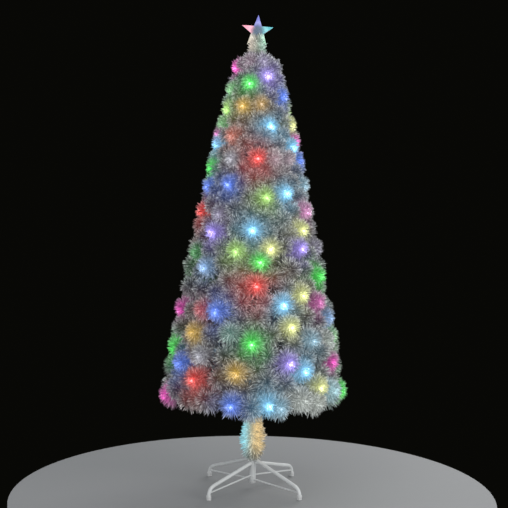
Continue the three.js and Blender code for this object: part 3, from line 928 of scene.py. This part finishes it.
def painted_metal(name, colour):
    colours = [[min(part * share, 1) for part in colour] for share in (0.86, 1.06)]
    return clouded(name, colours, scales=(18, 900), roughness=(0.34, 0.16), bump=(0.12, 0.0004),
                   Coat_Weight=0.2, Coat_Roughness=0.25)


def moulded_plastic(name, colour, roughness=0.42):
    darker = [part * 0.9 for part in colour]
    return clouded(name, (darker, colour), scales=(60, 1400), roughness=(roughness, 0.12),
                   bump=(0.08, 0.0003))


def leg_line(hub_z, bend_steps=14):
    """The leg's centre line as (radius, height) pairs, from inside the hub down to the foot."""
    angle = atan2(hub_z - KNEE[1], KNEE[0] - HUB_BORE_R)
    back = LEG_BEND * tan((pi / 2 - angle) / 2)
    corner = hub_z - tan(angle) * (FOOT_R - HUB_BORE_R)
    into = (FOOT_R - back * cos(angle), corner + back * sin(angle))
    out = (FOOT_R, corner - back)
    line = [
        (radius, hub_z - tan(angle) * (radius - HUB_BORE_R))
        for radius in (HUB_R - 2.5, HUB_R + 1.5, HUB_R + 5)]
    for i in range(bend_steps + 1):
        t = i / bend_steps
        line.append(tuple(
            (1 - t) ** 2 * a + 2 * t * (1 - t) * b + t ** 2 * c
            for a, b, c in zip(into, (FOOT_R, corner), out)))
    return [*line, (FOOT_R, 3.6)]


class LIGHTTREE_OT_stand(bpy.types.Operator):
    """Makes the folding four-legged stand"""

    bl_idname = "lighttree.stand"
    bl_label = "Stand"

    def execute(self, context):
        colours = context.scene.tree_colours
        paint = painted_metal("Stand paint", colours.paint)
        plastic = moulded_plastic("Cap plastic", colours.cap)
        hub = {
            "stand_inner_tube": ("stand", paint, "stand_paint", [
                (HUB_BORE_R, 27), (HUB_R - 0.4, 27), (HUB_R, 27.5), (HUB_R, 39.2),
                (HUB_R - 0.5, 39.7), (INNER_TUBE_R, 39.7), (INNER_TUBE_R, 104.5),
                (HUB_R - 0.5, 104.5), (HUB_R, 105), (HUB_R, 116.6), (HUB_R - 0.4, 117.6),
                (HUB_R - 1.3, 118), (HUB_BORE_R, 118), (HUB_BORE_R, 27)]),
            "stand_sleeve": ("turning_legs", paint, "stand_paint", [
                (INNER_TUBE_R + 0.3, 40), (HUB_R - 0.5, 40), (HUB_R, 40.5), (HUB_R, 103.7),
                (HUB_R - 0.5, 104.2), (INNER_TUBE_R + 0.3, 104.2), (INNER_TUBE_R + 0.3, 40)]),
            "stand_end_cap": ("stand", plastic, "caps", [
                (0, 17), (HUB_R - 4.2, 17), (HUB_R - 2.2, 17.5), (HUB_R - 0.7, 19), (HUB_R, 21.5),
                (HUB_R, 26.3), (HUB_R - 0.4, 26.7), (8, 26.7), (8, 33.4), (7.4, 34), (0, 34)]),
        }
        for node, (body, finish, slot, pairs) in hub.items():
            fitted(node, "_turned", lathe(pairs), finish, body, 40)
        cap = [(0, 0), (7.6, 0), (8.6, 0.4), (9.1, 1.4), (9.1, 3.5), (8.8, 4.0), (8.8, 4.6),
               (9.1, 5.1), (9.1, 14.8), (8.8, 16.2), (8.0, 17.2), (7.2, 17.5), (6.8, 17.2),
               (6.8, 3.3), (0, 3.3)]
        for place, (turn, hub_z, brace_z, body) in LEGS.items():
            line = [Vector((radius, 0, z)) for radius, z in leg_line(hub_z)]
            # Legs swell where they are welded to the hub, and braces at both ends
            radii = [LEG_R + 0.9, LEG_R + 0.8] + [LEG_R] * (len(line) - 2)
            fitted(f"leg_{place}", "_tube", tube(line, radii, 24), paint, body,
                   turn=turn)
            low = Vector((FOOT_R - LEG_R / 2 - 2, 0, 25))
            top = Vector((HUB_R - 1.5, 0, brace_z))
            ahead = (low - top).normalized()
            rod = [top, top + ahead * 2.5, top + ahead * 6, low - ahead * 6, low - ahead * 2.5, low]
            radii = [BRACE_R + swell for swell in (1.2, 0.9, 0, 0, 0.8, 1)]
            fitted(f"brace_{place}", "_rod", tube(rod, radii, 16), paint, body,
                   turn=turn)
            fitted(f"foot_cap_{place}", "_moulded", lathe(cap, 36, FOOT_R), plastic, body,
                   50, turn)
        return {"FINISHED"}


class LIGHTTREE_OT_trunk(bpy.types.Operator):
    """Makes the trunk's two poles and paints the cables inside them"""

    bl_idname = "lighttree.trunk"
    bl_label = "Trunk"

    def execute(self, context):
        paint = painted_metal("Pole paint", context.scene.tree_colours.paint)
        low = SECTION_JOINT_Z - SPIGOT_LENGTH
        poles = {
            "lower_pole": ("lower_section", [
                (POLE_BORE_R, 38), (SPIGOT_R - 0.6, 38), (SPIGOT_R, 38.8), (SPIGOT_R, 118.3),
                (POLE_R - 0.6, 118.3), (POLE_R, 119), (POLE_R, SECTION_JOINT_Z - 1.2),
                (POLE_R - 0.7, SECTION_JOINT_Z - 0.3), (SPIGOT_R + 0.3, SECTION_JOINT_Z - 0.3),
                (SPIGOT_R + 0.3, low - 0.3), (POLE_BORE_R, low - 0.3), (POLE_BORE_R, 38)]),
            "upper_pole": ("upper_section", [
                (POLE_BORE_R, low), (SPIGOT_R - 0.6, low), (SPIGOT_R, low + 0.8),
                (SPIGOT_R, SECTION_JOINT_Z), (POLE_R - 0.7, SECTION_JOINT_Z),
                (POLE_R, SECTION_JOINT_Z + 0.9), (POLE_R, TRUNK_TOP - 1), (POLE_R - 1, TRUNK_TOP),
                (4, TRUNK_TOP), (4, 1689.2), (3.3, 1690), (0, 1690), (0, TRUNK_TOP - 12),
                (POLE_BORE_R, TRUNK_TOP - 12), (POLE_BORE_R, low)]),
        }
        for node, (body, pairs) in poles.items():
            fitted(node, "_tube", lathe(pairs, 40), paint, body, 40)
        cable = moulded_plastic("Cable sheath", (0.74, 0.74, 0.72), 0.5)
        for node in ("lower_wiring", "upper_wiring"):
            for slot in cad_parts[node].material_slots:
                slot.material = cable
        return {"FINISHED"}


class LIGHTTREE_OT_star(bpy.types.Operator):
    """Makes the clear star and its socket"""

    bl_idname = "lighttree.star"
    bl_label = "Star"

    def execute(self, context):
        clear = Finish("Clear star", Roughness=0.08, Coat_Weight=1.0, Coat_Roughness=0.05,
                       Emission_Strength=0.9)
        glow = clear.attribute("lamp_glow")
        rough = clear.noise(420, detail=4)
        painted_sparkle = clear.noise(260, detail=2)
        # Painted light: the arms' light colours tint the clear star's base colour as well as its
        # glow, and a noise paints sparkle into the glow
        clear.feed("Base Color", clear.mix(0.7, (0.31, 0.36, 0.42), glow))
        clear.feed("Emission Color", clear.mix(1.0, glow, painted_sparkle * 1.6 + 0.2, "MULTIPLY"))
        clear.feed("Roughness", 0.06 + rough * 0.12)
        clear.bump(rough, 0.25, 0.0008)
        for node, tilt, turn in (("star_front", STAR_TILT, 0), ("star_back", -STAR_TILT, pi)):
            mesh = self.half(tilt)
            mesh.transform(Matrix.Rotation(turn, 4, "Z"))
            piece = new_piece(node + "_facets", mesh, clear.material, smooth=False)
            self.paint_arms(piece.data, turn == 0)
            fix(piece, "star", node)
        below_notch = 9
        cup = STAR_Z - STAR_R * STAR_NOTCH - below_notch
        socket = lathe([
            (4.3, 1652.3), (5.1, 1652.3), (5.5, 1652.8), (5.5, cup - 6), (6.7, cup - 4),
            (6.7, cup - 0.5), (6.2, cup), (4.3, cup), (4.3, 1692.7), (0, 1692.7), (0, 1690.3),
            (4.3, 1690.3), (4.3, 1652.3)], 32)
        white = moulded_plastic("Socket plastic", (0.7, 0.7, 0.69))
        fitted("star_socket", "_moulded", socket, white, "star", 40)
        return {"FINISHED"}

    def half(self, tilt, rim=-1.6, back=-0.15):
        """The front half: a flat back, a rim, and finely cut facets that rise to the middle."""
        vertices = [Vector((0, depth, STAR_Z)) for depth in (-STAR_THICK, back)]
        for depth in (rim, back):
            for i in range(10):
                radius = STAR_R * (STAR_NOTCH if i % 2 else 1)
                angle = pi / 2 + tau * i / 10 + tilt
                vertices.append(Vector((
                    cos(angle) * radius, depth, STAR_Z + sin(angle) * radius)))
        faces = []
        for i in range(10):
            j = (i + 1) % 10
            faces += [[0, 2 + i, 2 + j], [2 + i, 12 + i, 12 + j, 2 + j], [1, 12 + j, 12 + i]]
        return mesh_from(vertices, faces, cuts=5)

    def paint_arms(self, mesh, is_front, dim=0.25, middle=0.5):
        """Each arm glows in its own colour from its middle outwards, round a dim blue centre."""
        arms = [(0.12, 0.12, 0.43), (0.8, 0.28, 0.36), (0.5, 0.44, 0.34), (0.32, 0.55, 0.38),
                (0.06, 0.37, 0.4)]
        centre = np.array((0.055, 0.08, 0.12))
        colours = []
        for vertex in mesh.vertices:
            x = vertex.co.x if is_front else -vertex.co.x
            z = vertex.co.z - STAR_Z * MM
            angle = (atan2(z, x) - pi / 2 - STAR_TILT) % tau
            radius = hypot(x, z) / (STAR_R * MM)
            arm = np.array(arms[round(angle / tau * 5) % 5])
            share = min(max((radius - dim) / (middle - dim), 0), 1)
            # Painted light: a brighter band of light across each arm at half the star's radius
            painted_light_band = exp(-((radius - middle) / 0.12) ** 2)
            colours += [*(centre * (1 - share) + (arm + 0.15 * painted_light_band) * share), 1]
        store(mesh.color_attributes, "lamp_glow", "FLOAT_COLOR", "color", colours)


class LIGHTTREE_OT_stage(bpy.types.Operator):
    """Makes the plain floor, the soft light and the camera"""

    bl_idname = "lighttree.stage"
    bl_label = "Stage"

    def execute(self, context):
        scene = context.scene
        finish = Finish("Plain floor", Roughness=0.7)
        finish.feed("Base Color", (*scene.tree_colours.floor, 1))
        disc = lathe([(0, -0.2), (900, -0.2), (900, -8), (0, -8)], 96)
        new_piece("floor", disc, finish.material, smooth=False)
        scene.world = self.dark_room()
        for name, place, size, power in (
                ("key", (-2.2, -3.2, 2.2), 2.2, 36), ("fill", (2.8, -2.6, 1.4), 2.4, 66),
                ("rim", (1.8, 2.8, 2.2), 2.0, 50)):
            data = bpy.data.lights.new(name, "AREA")
            data.energy = power
            data.size = size
            light = new_object(name, data)
            light.location = place
            aim = Vector((0, 0, 0.9)) - light.location
            light.rotation_euler = aim.to_track_quat("-Z", "Y").to_euler()
        scene.camera = self.level_camera()
        scene.view_settings.view_transform = "Standard"
        return {"FINISHED"}

    def dark_room(self):
        """A world that lights the tree softly, and looks black to the camera and in gloss."""
        world = bpy.data.worlds.new("Studio")
        world.use_nodes = True
        world.node_tree.nodes.clear()
        room = Nodes(world.node_tree)
        camera = room.node("ShaderNodeLightPath", out="Is Camera Ray")
        gloss = camera.beside("Is Glossy Ray") + camera.beside("Is Transmission Ray")
        seen = room.maths("ADD", camera, gloss, use_clamp=True)
        soft, dark = (
            room.node("ShaderNodeBackground", {"Color": colour, "Strength": strength})
            for colour, strength in (
                ((0.9, 0.95, 1.0, 1), 0.55), ((0.0025, 0.0025, 0.0018, 1), 1.0)))
        room.end("ShaderNodeOutputWorld", room.node(
            "ShaderNodeMixShader", {0: seen, 1: soft, 2: dark}))
        return world

    def level_camera(self, distance=3.3, height=0.92, bearing=-2.5, pitch=-0.5, yaw=0.066,
                     roll=0.65):
        """The photograph's camera, with its angles in degrees."""
        data = bpy.data.cameras.new("camera")
        data.lens = 61.4
        data.sensor_width = 36
        camera = new_object("camera", data)
        azimuth = radians(bearing)
        camera.location = (sin(azimuth) * distance, -cos(azimuth) * distance, height)
        aim = Euler((radians(90 + pitch), 0, azimuth + radians(yaw))).to_matrix()
        rolled = aim @ Matrix.Rotation(radians(roll), 3, "Z")
        camera.rotation_euler = rolled.to_euler()
        return camera


class LIGHTTREE_PT_panel(bpy.types.Panel):
    """Lists the tree's pieces and sizes"""

    bl_idname = "LIGHTTREE_PT_panel"
    bl_label = "Light-up tree"
    bl_space_type = "VIEW_3D"
    bl_region_type = "UI"
    bl_category = "Light-up tree"

    def draw(self, context):
        for group in (context.scene.tree_brushes, context.scene.tree_colours):
            column = self.layout.column()
            for name in group.__annotations__:
                column.prop(group, name)
        for operator in OPERATORS:
            self.layout.operator(operator.bl_idname)


OPERATORS = (
    LIGHTTREE_OT_stage, LIGHTTREE_OT_stand, LIGHTTREE_OT_trunk, LIGHTTREE_OT_branches,
    LIGHTTREE_OT_wraps, LIGHTTREE_OT_star)
CLASSES = (TreeColours, TreeBrushSizes, *OPERATORS, LIGHTTREE_PT_panel)


def register():
    for entry in CLASSES:
        bpy.utils.register_class(entry)
    bpy.types.Scene.tree_colours = PointerProperty(type=TreeColours)
    bpy.types.Scene.tree_brushes = PointerProperty(type=TreeBrushSizes)


def unregister():
    del bpy.types.Scene.tree_brushes
    del bpy.types.Scene.tree_colours
    for entry in reversed(CLASSES):
        bpy.utils.unregister_class(entry)


def main():
    register()
    bpy.ops.lighttree.stage()
    bpy.ops.lighttree.stand()
    bpy.ops.lighttree.trunk()
    bpy.ops.lighttree.branches()
    bpy.ops.lighttree.wraps()
    bpy.ops.lighttree.star()


if __name__ == "__main__":
    main()
